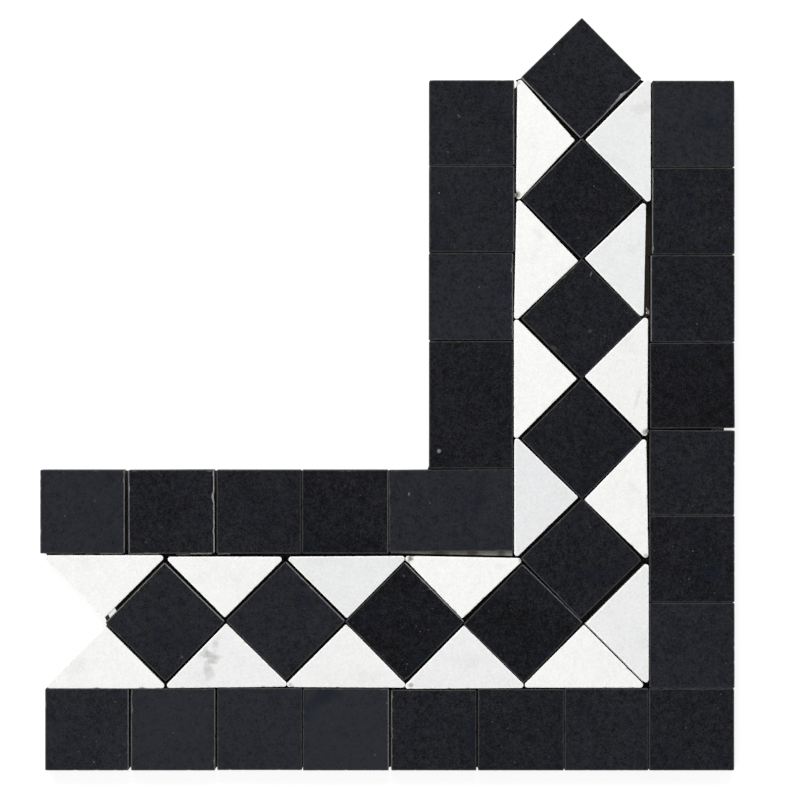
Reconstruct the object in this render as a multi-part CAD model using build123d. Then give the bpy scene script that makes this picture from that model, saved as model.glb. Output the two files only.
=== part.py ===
from build123d import *
import os
from functools import lru_cache
from math import sqrt

# A border corner of a marble floor, seen from above with +Z up. Two arms meet at the south-east
# corner: one runs west and one runs north. Each arm has two rows of black squares with a band
# between them, of black diamonds set in white triangles. A glass-fibre mesh carries the stones.
# The free end of the north arm shows a whole diamond, and the free end of the west arm has the
# notch that takes such a diamond of the next length of border.

# Stones, in millimetres. The diamonds set the length of the whole border, and the squares of the
# rows share it out.
diamond_side = 25.0  # black squares laid turned by 45 degrees in the band
west_diamond_trim = 0.3  # by how much those of the west arm are smaller
triangle_oversize = 1.0  # short sides of the white triangles, over the side of a diamond
east_row_width = 24.9  # across the row, as the next three
south_row_width = 24.0
inner_row_width = 24.5
west_bar_width = 23.9  # long stone at the east end of the west arm's inner row
stone_thickness = 10.0
black_corner_radius = 0.4  # upright edges of the black stones
white_tip_radius = 0.8  # worn sharp tips of the white triangles
white_apex_radius = 0.4  # right-angled corner of the white triangles
arris = 0.3  # chamfer round each stone's top face

# Joints between stones, in millimetres
tip_joint = 0.06  # from diamond to diamond, tip to tip
band_joint = 0.6  # from diamond to triangle
mitre_joint = 0.6  # between the two diamonds that meet on the mitre
corner_joint = 0.3  # between the two triangles that meet on the mitre
row_joint = 0.15  # from square to square along a row
bar_joint = 0.3  # between the two bars at the inner corner
row_to_band_joint = 0.5  # from a row of squares to the band
bar_to_band_joint = 1.05  # from the west arm's bar to the band, wider for the ledge

# Numbers of stones in each arm, without the square that both outer rows share
outer_squares = 7
west_inner_squares = 4
north_inner_squares = 3
diamond_steps = 4  # from an arm's end to its diamond on the mitre

# Backing mesh, in millimetres
mesh_thickness = 0.4
mesh_cell = 5.0
strand_width = 0.9
mesh_margin = 2.5  # from the edge of the stones in to the edge of the mesh

# A saw cut that stopped short left a ledge along the south side of the west arm's inner bar
ledge_depth = 1.6  # from the top face down to the ledge
ledge_west_width = 0.4
ledge_east_width = 1.5

# The band, measured from the crossing of its two centre lines
half_diagonal = diamond_side / sqrt(2)
diamond_reach = half_diagonal - black_corner_radius * (sqrt(2) - 1)
diamond_pitch = 2 * diamond_reach + tip_joint
mitre_diamond_offset = (diamond_side + mitre_joint) / sqrt(2)
triangle_leg = diamond_side + triangle_oversize
triangle_depth = triangle_leg / sqrt(2)
apex_offset = band_joint * sqrt(2) + half_diagonal - diamond_pitch / 2
band_half_width = apex_offset + triangle_depth
arm_end = mitre_diamond_offset + diamond_steps * diamond_pitch

# The rows, measured from the same crossing. The outer rows share the border's length out equally.
row_near = band_half_width + row_to_band_joint
east_far = row_near + east_row_width
inner_far = row_near + inner_row_width
east_middle = row_near + east_row_width / 2
south_middle = row_near + south_row_width / 2
inner_middle = row_near + inner_row_width / 2
row_pitch = (arm_end + row_near) / outer_squares
square_length = row_pitch - row_joint

# The two bars that meet at the inner corner
west_bar_length = arm_end - west_inner_squares * row_pitch - row_near
west_bar_middle = band_half_width + bar_to_band_joint + west_bar_width / 2
north_bar_start = west_bar_middle + west_bar_width / 2 + bar_joint
north_bar_length = arm_end - north_inner_squares * row_pitch - north_bar_start

# Heights
stone_base = mesh_thickness
stone_top = mesh_thickness + stone_thickness

# Stones cut to another size than the others of their kind, and by how much: the length along the
# row and the width across it, or the depth and the long side of a triangle
odd_sizes = {
    "north_outer_square_1": (-0.1, -0.9),
    "north_outer_square_2": (0, -0.8),
    "north_outer_square_3": (0.1, -0.4),
    "north_outer_square_4": (-0.3, -0.2),
    "north_outer_square_5": (-0.5, 0),
    "north_outer_square_7": (-0.4, 0),
    "north_inner_square_1": (-0.4, 0.4),
    "north_inner_square_2": (-0.1, 0.4),
    "north_inner_square_3": (0.1, 0.1),
    "north_inner_bar": (-0.2, 0),
    "west_outer_square_1": (-0.9, 0),
    "west_outer_square_2": (-0.7, 0),
    "west_outer_square_3": (-0.5, 0),
    "west_outer_square_4": (-0.2, 0),
    "west_outer_square_5": (-0.4, -0.4),
    "west_outer_square_6": (-0.2, -0.2),
    "west_outer_square_7": (-0.8, 0),
    "west_inner_square_1": (-0.6, 0),
    "west_inner_square_2": (-0.2, 0),
    "west_inner_square_3": (-0.6, 0),
    "west_inner_square_4": (-0.1, 0),
    "west_inner_bar": (-0.3, 0),
    "north_inner_triangle_1": (-1.4, 0.5),
    "north_inner_triangle_4": (0.3, -0.3),
    "north_outer_triangle_1": (0.7, 1.4),
    "north_outer_triangle_2": (-0.8, -1.7),
    "west_inner_triangle_2": (-0.6, -1.3),
    "west_inner_triangle_3": (-0.3, -0.6),
    "west_inner_triangle_4": (-0.4, -0.7),
    "west_outer_triangle_1": (-0.2, -0.3),
    "west_outer_triangle_2": (0.3, 0.4),
    "west_outer_triangle_3": (0.1, 0),
}

# Where the stones lie off the regular layout, as laid by hand: east, north and counter-clockwise
# turn, in millimetres and degrees. A shift given for a whole row adds to that of its stones.
hand_laid = {
    "west_outer_square": (0, 0.3, 0),
    "west_outer_square_1": (1.4, 0, 0),
    "west_outer_square_2": (1.1, 0, 0),
    "west_outer_square_3": (0.9, 0.1, 0),
    "west_outer_square_4": (0.6, 0, 0),
    "west_outer_square_5": (0.8, -0.2, 0),
    "west_outer_square_6": (0.8, -0.1, 0),
    "west_outer_square_7": (0.3, 0, 0),
    "corner_square": (-0.1, 0.3, 0),
    "north_outer_square": (0, -0.5, 0),
    "north_outer_square_1": (0.4, 0, 0),
    "north_outer_square_2": (0.4, 0, 0),
    "north_outer_square_3": (0.2, -0.1, 0),
    "north_outer_square_4": (0.1, 0, 0.4),
    "north_outer_square_5": (0, 0, -0.4),
    "north_outer_square_6": (0, 0.3, 0),
    "north_outer_square_7": (0, 0.5, 0),
    "north_inner_square": (-0.1, 0, 0),
    "north_inner_square_1": (0.2, -0.2, 0),
    "north_inner_square_2": (0.2, 0.1, 0),
    "north_inner_bar": (-0.1, -0.1, 0),
    "west_inner_square": (0, -0.1, 0),
    "west_inner_square_1": (0.1, 0, 0),
    "west_inner_square_2": (0.6, 0, 0.3),
    "west_inner_square_3": (0.7, 0, 0),
    "west_inner_square_4": (0.4, 0, 0),
    "west_inner_bar": (0.2, 0, 0.5),
    "north_diamond": (0, 0.1, 0),
    "north_diamond_1": (0, 0.1, -0.5),
    "north_diamond_2": (0.1, 0, 0),
    "north_diamond_3": (0.1, 0, 0),
    "north_diamond_4": (0.2, 0, 0),
    "north_diamond_5": (0, 0, -0.7),
    "west_diamond": (1.5, -0.1, 0),
    "west_diamond_1": (0.3, -0.1, 0.6),
    "west_diamond_2": (0.4, 0.2, 0),
    "west_diamond_3": (0.1, 0, 0),
    "west_diamond_4": (-0.4, -0.5, 0.8),
    "north_inner_triangle_1": (0.5, -0.2, -0.7),
    "north_inner_triangle_2": (0.1, -0.2, -1.2),
    "north_inner_triangle_3": (-0.3, 0.1, 0),
    "north_inner_triangle_4": (-0.2, 0.6, 0),
    "north_outer_triangle_1": (0.9, -0.3, 0),
    "north_outer_triangle_2": (-0.8, -0.2, -1.2),
    "north_outer_triangle_3": (0, 0.7, -0.3),
    "north_outer_triangle_4": (-0.1, 0.2, 1.0),
    "north_outer_triangle_5": (0.3, 0.2, 0),
    "west_inner_triangle": (1.5, -0.3, 0),
    "west_inner_triangle_1": (0, 0.2, 0),
    "west_inner_triangle_2": (0.2, -0.2, 0),
    "west_inner_triangle_3": (0.7, -0.1, 0.3),
    "west_inner_triangle_4": (-0.3, -0.3, -1.1),
    "west_outer_triangle_1": (2.0, -0.2, 0),
    "west_outer_triangle_2": (2.3, 0.1, 0.6),
    "west_outer_triangle_3": (2.0, 0.1, -0.3),
    "west_outer_triangle_4": (1.5, -0.2, 0.4),
}


def shift_of(name):
    """Sum of the hand-laid shifts of a stone and of its row."""
    row = name.rsplit("_", 1)[0]
    shifts = [hand_laid[key] for key in (row, name) if key in hand_laid]
    return [sum(values) for values in zip(*shifts)] if shifts else [0, 0, 0]


def stone_prism(outline, corner_radii):
    """Upright stone from the corners of its plan, with each corner rounded and the top arris chamfered."""
    plan = make_face(Polyline(*outline, close=True))
    for (x, y), radius in zip(outline, corner_radii):
        corner = plan.vertices().sort_by_distance((x, y, 0))[0]
        plan = fillet(corner, radius)
    solid = extrude(plan, stone_thickness)
    top_edges = solid.faces().sort_by(Axis.Z)[-1].edges()
    return Pos(0, 0, stone_base) * chamfer(top_edges, arris)


@lru_cache
def rectangle_stone(length_x, length_y):
    x, y = length_x / 2, length_y / 2
    outline = [(-x, -y), (x, -y), (x, y), (-x, y)]
    return stone_prism(outline, [black_corner_radius] * 4)


@lru_cache
def triangle_stone(depth, long_side):
    """Triangle with the middle of its long side at the origin and its apex towards +X."""
    outline = [(0, -long_side / 2), (depth, 0), (0, long_side / 2)]
    return stone_prism(outline, [white_tip_radius, white_apex_radius, white_tip_radius])


def bar_with_ledge(length, width):
    """Long stone of the inner row, lying along X, with the ledge on its south side."""
    side = -width / 2
    west, east = -length / 2 + black_corner_radius, length / 2 - black_corner_radius
    outline = [
        (west, side + ledge_depth),
        (west, side - ledge_west_width),
        (east, side - ledge_east_width),
        (east, side + ledge_depth),
    ]
    ledge = extrude(make_face(Polyline(*outline, close=True)), stone_thickness - ledge_depth)
    return rectangle_stone(length, width) + Pos(0, 0, stone_base) * ledge


nodes = {}


def sized(name, length, width):
    """The length and width of a stone, with what it differs from the others of its kind."""
    longer, wider = odd_sizes.get(name, (0, 0))
    return length + longer, width + wider


def lay(name, stone, x, y, turn=0):
    """Puts a stone at its place in the layout, with its own hand-laid shift."""
    east, north, extra = shift_of(name)
    nodes[name] = Pos(x + east, y + north, 0) * Rot(0, 0, turn + extra) * stone


# Rows of squares. The first of each row lies at the free end of its arm.
rows = {
    "north_outer_square": (outer_squares, east_middle, east_row_width),
    "north_inner_square": (north_inner_squares, -inner_middle, inner_row_width),
    "west_outer_square": (outer_squares, -south_middle, south_row_width),
    "west_inner_square": (west_inner_squares, inner_middle, inner_row_width),
}
for row, (count, across, row_width) in rows.items():
    for i in range(count):
        name = f"{row}_{i + 1}"
        along = arm_end - square_length / 2 - i * row_pitch
        length, width = sized(name, square_length, row_width)
        if row.startswith("north"):
            lay(name, rectangle_stone(width, length), across, along)
        else:
            lay(name, rectangle_stone(length, width), -along, across)
lay("corner_square", rectangle_stone(east_row_width, south_row_width), east_middle, -south_middle)

# Long bars of the inner rows, where they meet
length, width = sized("north_inner_bar", north_bar_length, inner_row_width)
north_bar_middle = north_bar_start + north_bar_length / 2
lay("north_inner_bar", rectangle_stone(width, length), -inner_middle, north_bar_middle)
length, width = sized("west_inner_bar", west_bar_length, west_bar_width)
lay("west_inner_bar", bar_with_ledge(length, width), -row_near - west_bar_length / 2, west_bar_middle)

# Diamonds of the band. The west arm has none at its free end.
diamond = rectangle_stone(diamond_side, diamond_side)
west_diamond_side = diamond_side - west_diamond_trim
west_diamond = rectangle_stone(west_diamond_side, west_diamond_side)
for i in range(diamond_steps + 1):
    lay(f"north_diamond_{i + 1}", diamond, 0, arm_end - i * diamond_pitch, 45)
for i in range(diamond_steps):
    lay(f"west_diamond_{i + 1}", west_diamond, -arm_end + (i + 1) * diamond_pitch, 0, 45)

# Triangles of the band, on both sides, with their long sides along the rows. The outer sides have
# one more than the inner ones, at the mitre.
triangle_sides = {
    "north_inner": (-band_half_width, 0, diamond_steps),
    "north_outer": (band_half_width, 180, diamond_steps + 1),
    "west_inner": (band_half_width, -90, diamond_steps),
    "west_outer": (-band_half_width, 90, diamond_steps + 1),
}
for side, (across, turn, count) in triangle_sides.items():
    for i in range(count):
        name = f"{side}_triangle_{i + 1}"
        along = arm_end - (i + 0.5) * diamond_pitch
        if i == diamond_steps:
            along = corner_joint / sqrt(2) - apex_offset
        x, y = (across, along) if side.startswith("north") else (-along, across)
        depth, long_side = sized(name, triangle_depth, 2 * triangle_depth)
        lay(name, triangle_stone(depth, long_side), x, y, turn)

# Backing mesh: flat strands both ways, fused where they cross, in panels that meet edge to edge.
# Its grid is set out from the middle of the band and from the straight end of the north arm.
mesh_west = -arm_end + mesh_margin
mesh_north = arm_end - mesh_margin
mesh_east = east_far - mesh_margin
mesh_south = -row_near - south_row_width + mesh_margin
mesh_inside = inner_far - mesh_margin
notch_root = -arm_end + half_diagonal + mesh_margin * sqrt(2)
point_tip = arm_end + half_diagonal - mesh_margin * sqrt(2)
notch_rise = notch_root - mesh_west
point_rise = point_tip - mesh_north
panels = {
    "mesh_north_point": [(-point_rise, mesh_north), (point_rise, mesh_north), (0, point_tip)],
    "mesh_north_arm": [
        (-mesh_inside, mesh_inside), (mesh_east, mesh_inside), (mesh_east, mesh_north), (-mesh_inside, mesh_north)
    ],
    "mesh_corner": [
        (-mesh_inside, mesh_south), (mesh_east, mesh_south), (mesh_east, mesh_inside), (-mesh_inside, mesh_inside)
    ],
    "mesh_west_inner": [
        (-mesh_inside, 0), (-mesh_inside, mesh_inside), (mesh_west, mesh_inside),
        (mesh_west, notch_rise), (notch_root, 0),
    ],
    "mesh_west_outer": [
        (-mesh_inside, 0), (notch_root, 0), (mesh_west, -notch_rise), (mesh_west, mesh_south),
        (-mesh_inside, mesh_south),
    ],
}
for name, corners in panels.items():
    outline = make_face(Polyline(*corners, close=True))
    box = outline.bounding_box()
    first_column = int(box.min.X // mesh_cell)
    first_row = int((box.min.Y - mesh_north) // mesh_cell)
    strips = []
    for k in range(int(box.size.X // mesh_cell) + 3):
        x = (first_column + k) * mesh_cell
        strips.append(Pos(x, box.center().Y) * Rectangle(strand_width, 2 * box.size.Y))
    for k in range(int(box.size.Y // mesh_cell) + 3):
        y = mesh_north + (first_row + k) * mesh_cell
        strips.append(Pos(box.center().X, y) * Rectangle(2 * box.size.X, strand_width))
    net = (Sketch() + strips) & outline
    nodes[name] = extrude(net, mesh_thickness)

# The frame's origin is the middle of the stones' bounding box, on the underside of the mesh
bounds = Compound([shape for name, shape in nodes.items() if not name.startswith("mesh")]).bounding_box()
to_frame = Pos(-bounds.center().X, -bounds.center().Y, 0)
os.makedirs("parts", exist_ok=True)
for name, shape in nodes.items():
    export_step(to_frame * shape, f"parts/{name}.step")
print("squares", round(square_length, 2), "bars", round(west_bar_length, 2), round(north_bar_length, 2))
print("origin in the layout", round(bounds.center().X, 3), round(bounds.center().Y, 3))
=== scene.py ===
from math import atan2, cos, degrees, pi, radians

import bmesh
import bpy
from mathutils import Matrix, Vector, noise


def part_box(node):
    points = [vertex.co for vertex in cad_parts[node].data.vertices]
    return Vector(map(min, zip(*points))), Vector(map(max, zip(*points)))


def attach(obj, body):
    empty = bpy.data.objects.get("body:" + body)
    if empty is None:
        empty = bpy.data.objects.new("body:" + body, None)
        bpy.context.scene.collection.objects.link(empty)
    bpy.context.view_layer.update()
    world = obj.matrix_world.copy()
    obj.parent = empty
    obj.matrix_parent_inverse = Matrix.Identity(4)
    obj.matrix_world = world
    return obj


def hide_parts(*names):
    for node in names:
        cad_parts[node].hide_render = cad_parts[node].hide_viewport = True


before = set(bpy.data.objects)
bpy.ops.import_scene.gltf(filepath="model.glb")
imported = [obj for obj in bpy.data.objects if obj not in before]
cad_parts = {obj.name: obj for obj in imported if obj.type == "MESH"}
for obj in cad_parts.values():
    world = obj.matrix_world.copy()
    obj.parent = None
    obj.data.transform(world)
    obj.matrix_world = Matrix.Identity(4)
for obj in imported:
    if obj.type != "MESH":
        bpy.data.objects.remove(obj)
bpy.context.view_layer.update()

mm = 0.001
stoneNames = sorted(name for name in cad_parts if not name.startswith("mesh"))
stoneTop = max(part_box(name)[1][2] for name in stoneNames)
stoneSeeds = {name: 0.37 * number for number, name in enumerate(stoneNames)}

# the photograph looks straight down: this pixel shows the origin, and a pixel is this wide
photo = {"pixel": 0.292 * mm, "originX": 387.5, "originY": 394.3, "size": 800}


def fromPhoto(photoX, photoY):
    x = (photoX - photo["originX"]) * photo["pixel"]
    y = (photo["originY"] - photoY) * photo["pixel"]
    return x, y


# shader tools

def plug(value, slot):
    if isinstance(value, Wire):
        slot.id_data.links.new(value.socket, slot)
    else:
        slot.default_value = value


class Wire:
    def __init__(self, socket):
        self.socket = socket

    def maths(self, operation, *others):
        node = self.socket.id_data.nodes.new("ShaderNodeMath")
        node.operation = operation
        for slot, value in zip(node.inputs, (self, *others)):
            plug(value, slot)
        return Wire(node.outputs[0])

    def __add__(self, other):
        return self.maths("ADD", other)

    def __sub__(self, other):
        return self.maths("SUBTRACT", other)

    def __mul__(self, other):
        return self.maths("MULTIPLY", other)

    def __truediv__(self, other):
        return self.maths("DIVIDE", other)

    def __rsub__(self, other):
        return self * -1 + other

    __radd__ = __add__
    __rmul__ = __mul__

    def size(self):
        return self.maths("ABSOLUTE")

    def atMost(self, other):
        return self.maths("MINIMUM", other)

    def atLeast(self, other):
        return self.maths("MAXIMUM", other)

    def ramp(self, low, high):
        # smooth step: 0 at low, 1 at high, which may be the smaller one
        node = self.socket.id_data.nodes.new("ShaderNodeMapRange")
        node.interpolation_type = "SMOOTHSTEP"
        plug(self, node.inputs["Value"])
        node.inputs["From Min"].default_value = low
        node.inputs["From Max"].default_value = high
        return Wire(node.outputs["Result"])


class Paint:
    def __init__(self, name):
        self.material = bpy.data.materials.new(name)
        self.material.use_nodes = True
        self.nodes = self.material.node_tree.nodes
        self.shader = self.nodes["Principled BSDF"]
        self.place = self.node("ShaderNodeTexCoord", "Object")
        axes = self.nodes.new("ShaderNodeSeparateXYZ")
        plug(self.place, axes.inputs[0])
        self.x, self.y, self.z = (Wire(output) for output in axes.outputs)
        self.seed = self.attribute("seed")

    def node(self, kind, output=0, inputs=None, **settings):
        made = self.nodes.new(kind)
        for key, value in settings.items():
            setattr(made, key, value)
        for key, value in (inputs or {}).items():
            plug(value, made.inputs[key])
        return Wire(made.outputs[output])

    def attribute(self, name):
        return self.node("ShaderNodeAttribute", "Fac", attribute_name=name)

    def grain(self, size, detail=3.0, roughness=0.55, shift=0.0, stretch=(1, 1, 1), distortion=0.0):
        # noise around zero with features of that size, different on each stone
        place = self.node("ShaderNodeMapping", inputs={"Vector": self.place, "Scale": stretch})
        inputs = {
            "Vector": place,
            "W": self.seed * 7.0 + shift,
            "Scale": 1 / size,
            "Detail": detail,
            "Roughness": roughness,
            "Distortion": distortion,
        }
        return self.node("ShaderNodeTexNoise", 0, inputs, noise_dimensions="4D") - 0.5

    def dots(self, size, radius, share, shift=0.0):
        # scattered round specks, in that share of the cells
        cells = self.nodes.new("ShaderNodeTexVoronoi")
        cells.voronoi_dimensions = "4D"
        plug(self.place, cells.inputs["Vector"])
        plug(self.seed * 3.0 + shift, cells.inputs["W"])
        cells.inputs["Scale"].default_value = 1 / size
        chance = self.node("ShaderNodeSeparateColor", 0, {0: Wire(cells.outputs["Color"])})
        disc = Wire(cells.outputs["Distance"]).ramp(radius / size, 0.4 * radius / size)
        return disc * chance.ramp(1 - share, 1 - 0.4 * share)

    def blend(self, factor, first, second):
        return self.node("ShaderNodeMix", 2, {0: factor, 6: first, 7: second}, data_type="RGBA")

    def spot(self, photoX, photoY, reach, strength=1.0, lengthwise=1.0, turn=0.0, ragged=None):
        # strength at that pixel of the photograph, fading to 0 at reach in mm, longer along turn
        inputs = {
            "Vector": self.place,
            "Location": (*fromPhoto(photoX, photoY), stoneTop),
            "Rotation": (0, 0, radians(turn)),
            "Scale": (lengthwise, 1, 100),  # the same at every height
        }
        place = self.node("ShaderNodeMapping", inputs=inputs, vector_type="TEXTURE")
        away = self.node("ShaderNodeVectorMath", "Value", {0: place}, operation="LENGTH")
        if ragged:
            away = away + ragged * (reach * mm)
        return away.ramp(reach * mm, 0.2 * reach * mm) * strength

    def spots(self, marks, ragged=None):
        total = 0
        for mark in marks:
            total = self.spot(**mark, ragged=ragged) + total
        return total

    def beside(self, photoX, photoY, turn, softness):
        # 0 on one side of a line through that pixel, 1 on the side to its left along turn
        x, y = fromPhoto(photoX, photoY)
        c, s = cos(radians(turn)), cos(radians(90 - turn))
        return ((self.y - y) * c - (self.x - x) * s).ramp(-softness * mm, softness * mm)

    def onStone(self, name):
        return (self.seed - stoneSeeds[name]).size().ramp(0.1, 0.05)

    def bump(self, height, distance, strength=1.0):
        inputs = {"Height": height, "Distance": distance, "Strength": strength}
        return self.node("ShaderNodeBump", 0, inputs)

    def finish(self, colour, roughness, normal=None, **constants):
        plug(colour, self.shader.inputs["Base Color"])
        plug(roughness, self.shader.inputs["Roughness"])
        if normal:
            plug(normal, self.shader.inputs["Normal"])
        for key, value in constants.items():
            self.shader.inputs[key.replace("_", " ")].default_value = value
        return self.material


# black marble: honed top, with faint clouds, fine grain and scattered pale specks

blackLook = {
    "dark": (0.0006, 0.0006, 0.0010, 1),
    "light": (0.0228, 0.0240, 0.0300, 1),
    "blue": (0.0050, 0.0085, 0.0170, 1),
    "speck": (0.20, 0.20, 0.20, 1),
    # edge colours: the light one stands for pale broken stone and a painted highlight on the edges
    "edgeDark": (0.010, 0.010, 0.011, 1),
    "edgeLight": (0.62, 0.62, 0.63, 1),
    "sawnDark": (0.011, 0.011, 0.012, 1),
    "sawnLight": (0.040, 0.039, 0.038, 1),
    "glue": (0.11, 0.075, 0.042, 1),
    "glueHeight": 3.2 * mm,  # how high it sticks to the sides, from the mesh up
    "lines": {
        "west_inner_square_4": dict(photoX=345, photoY=512, turn=-45, softness=1.0),
        "west_diamond_4": dict(photoX=540, photoY=613, turn=-19, softness=0.8),
    },
    "specks": [
        dict(photoX=439, photoY=451, reach=0.8, strength=2.6),
        dict(photoX=409, photoY=494, reach=0.4, strength=1.6, lengthwise=1.8, turn=80),
        dict(photoX=430, photoY=503, reach=0.3, strength=1.0),
        dict(photoX=460, photoY=487, reach=0.25, strength=0.8),
        dict(photoX=429, photoY=413, reach=0.5, strength=0.6),
        dict(photoX=404, photoY=576, reach=0.35, strength=0.9),
        dict(photoX=407, photoY=664, reach=0.3, strength=1.0),
        dict(photoX=387, photoY=703, reach=0.35, strength=0.8),
        dict(photoX=375, photoY=755, reach=0.35, strength=0.7),
        dict(photoX=439, photoY=193, reach=0.35, strength=1.5),
        dict(photoX=448, photoY=152, reach=0.35, strength=0.9),
        dict(photoX=479, photoY=287, reach=0.3, strength=1.2),
        dict(photoX=504, photoY=296, reach=0.25, strength=0.8),
        dict(photoX=459, photoY=116, reach=0.45, strength=0.6, lengthwise=2.0, turn=-50),
        dict(photoX=554, photoY=54, reach=0.35, strength=1.1),
        dict(photoX=594, photoY=186, reach=0.35, strength=0.9),
        dict(photoX=591, photoY=274, reach=0.28, strength=1.4, lengthwise=4.0, turn=68),
        dict(photoX=578, photoY=238, reach=0.3, strength=0.7),
        dict(photoX=590, photoY=331, reach=0.9, strength=0.35),
        dict(photoX=554, photoY=348, reach=0.7, strength=0.4, lengthwise=2.0, turn=-40),
        dict(photoX=182, photoY=657, reach=0.55, strength=0.6),
        dict(photoX=146, photoY=542, reach=0.32, strength=0.8),
        dict(photoX=95, photoY=501, reach=0.35, strength=0.6),
        dict(photoX=65, photoY=516, reach=0.4, strength=0.5),
        dict(photoX=94, photoY=762, reach=0.35, strength=1.4),
        dict(photoX=84, photoY=737, reach=0.3, strength=0.6),
        dict(photoX=115, photoY=702, reach=0.3, strength=0.8),
        dict(photoX=693, photoY=551, reach=0.35, strength=1.0),
        dict(photoX=705, photoY=515, reach=0.45, strength=0.7),
        dict(photoX=704, photoY=494, reach=0.3, strength=0.6),
        dict(photoX=686, photoY=728, reach=0.28, strength=1.0),
        dict(photoX=689, photoY=579, reach=0.32, strength=0.9),
        dict(photoX=726, photoY=663, reach=0.28, strength=0.9),
        dict(photoX=721, photoY=694, reach=0.3, strength=0.7),
        dict(photoX=718, photoY=708, reach=0.3, strength=0.6),
        dict(photoX=720, photoY=228, reach=0.28, strength=1.2),
        dict(photoX=697, photoY=324, reach=0.35, strength=0.8),
        dict(photoX=710, photoY=168, reach=0.45, strength=0.7),
        dict(photoX=718, photoY=448, reach=0.3, strength=0.6),
    ],
}


def makeBlackTop():
    paint = Paint("blackMarble")
    tone = paint.attribute("tone")
    clouds = paint.grain(15 * mm, 2.0, 0.5, 1.0)
    mottle = paint.grain(2.6 * mm, 3.0, 0.6, 2.0)
    grit = paint.grain(0.9 * mm, 2.0, 0.7, 3.0)
    fine = paint.grain(0.4 * mm, 1.0, 0.5, 4.0)
    value = tone + clouds * 0.5 + mottle * 1.0 + grit * 2.4 + fine * 2.4
    # two stones are lighter on one side of a slanting line
    for name, line in blackLook["lines"].items():
        value = value + paint.beside(**line) * paint.onStone(name) * 0.16
    colour = paint.blend(value.ramp(-0.45, 1.45), blackLook["dark"], blackLook["light"])
    bluish = paint.grain(8 * mm, 3.0, 0.5, 11.0).ramp(0.04, 0.25) * 0.55
    colour = paint.blend(bluish, colour, blackLook["blue"])
    dusty = paint.dots(1.1 * mm, 0.26 * mm, 0.5, 5.0) * paint.attribute("specked")
    specks = dusty * paint.grain(6 * mm, 2.0, 0.5, 7.0).ramp(-0.25, 0.2) * 1.2
    specks = specks + paint.dots(2.6 * mm, 0.27 * mm, 0.4) * 0.8 + paint.spots(blackLook["specks"])
    colour = paint.blend((specks * 0.45).atMost(1.0), colour, blackLook["speck"])
    roughness = 0.55 + mottle * 0.25 + grit * 0.2
    pits = paint.dots(1.7 * mm, 0.25 * mm, 0.15, 9.0)
    height = grit * 0.5 + mottle * 0.6 - pits * 2.0
    return paint.finish(colour, roughness, paint.bump(height, 0.02 * mm, 0.5), Specular_IOR_Level=0.05)


def makeBlackEdge():
    paint = Paint("blackMarbleEdgePaleAndHighlight")
    edgePaleAndHighlight = paint.attribute("edgePaleAndHighlight")
    fine = paint.grain(0.5 * mm, 3.0, 0.7, 4.0)
    along = paint.grain(4 * mm, 2.0, 0.5, 6.0)
    # the edge is painted lighter by this attribute: a painted highlight, plus pale broken stone at chips
    value = (edgePaleAndHighlight + fine * 0.4 + along * 0.5 * edgePaleAndHighlight).ramp(0.0, 1.25)
    colour = paint.blend(value, blackLook["edgeDark"], blackLook["edgeLight"])
    return paint.finish(colour, 0.6 + fine * 0.3, paint.bump(fine, 0.05 * mm, 0.6))


def makeBlackSide():
    paint = Paint("blackMarbleSawn")
    saw = paint.grain(1.2 * mm, 2.0, 0.6, 4.0, (0.15, 0.15, 3.0))
    blotches = paint.grain(3.5 * mm, 3.0, 0.6, 6.0)
    fine = paint.grain(0.3 * mm, 2.0, 0.7, 8.0)
    value = (0.5 + saw * 0.8 + blotches * 0.8 + fine * 0.5).ramp(0.0, 1.0)
    colour = paint.blend(value, blackLook["sawnDark"], blackLook["sawnLight"])
    glue = ((blackLook["glueHeight"] - paint.z) / mm + blotches * 5.0).ramp(0.0, 1.6) * 0.55
    colour = paint.blend(glue, colour, blackLook["glue"])
    height = saw + fine * 0.4
    return paint.finish(colour, 0.62 + saw * 0.3 - glue * 0.2, paint.bump(height, 0.06 * mm, 0.7))


# the ledge that the saw left along the long stone of the west arm, with dried glue on it

ledgeLook = {
    "stone": (0.12, 0.115, 0.105, 1),
    "dust": (0.28, 0.26, 0.22, 1),
    "glue": (0.028, 0.016, 0.008, 1),
    "glueSpots": [
        dict(photoX=441, photoY=554, reach=2.2, strength=1.0, lengthwise=1.8),
        dict(photoX=472, photoY=554, reach=1.8, strength=1.0, lengthwise=2.0),
        dict(photoX=501, photoY=554, reach=1.4, strength=0.9, lengthwise=1.4),
        dict(photoX=397, photoY=554, reach=1.2, strength=0.7, lengthwise=2.0),
    ],
}


def makeLedge():
    paint = Paint("blackMarbleLedge")
    patches = paint.grain(2.5 * mm, 4.0, 0.65, 3.0)
    fine = paint.grain(0.4 * mm, 3.0, 0.7, 4.0)
    dusty = (patches * 1.4 + fine * 0.6 + 0.5).ramp(0.1, 0.9)
    colour = paint.blend(dusty, ledgeLook["stone"], ledgeLook["dust"])
    glue = paint.spots(ledgeLook["glueSpots"], patches)
    colour = paint.blend(glue.atMost(1.0), colour, ledgeLook["glue"])
    return paint.finish(colour, 0.7 - glue * 0.25, paint.bump(patches + fine * 0.5, 0.12 * mm, 0.8))


# white marble: almost plain, with soft grey clouds, one veined stone and a crystalline grain

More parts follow.
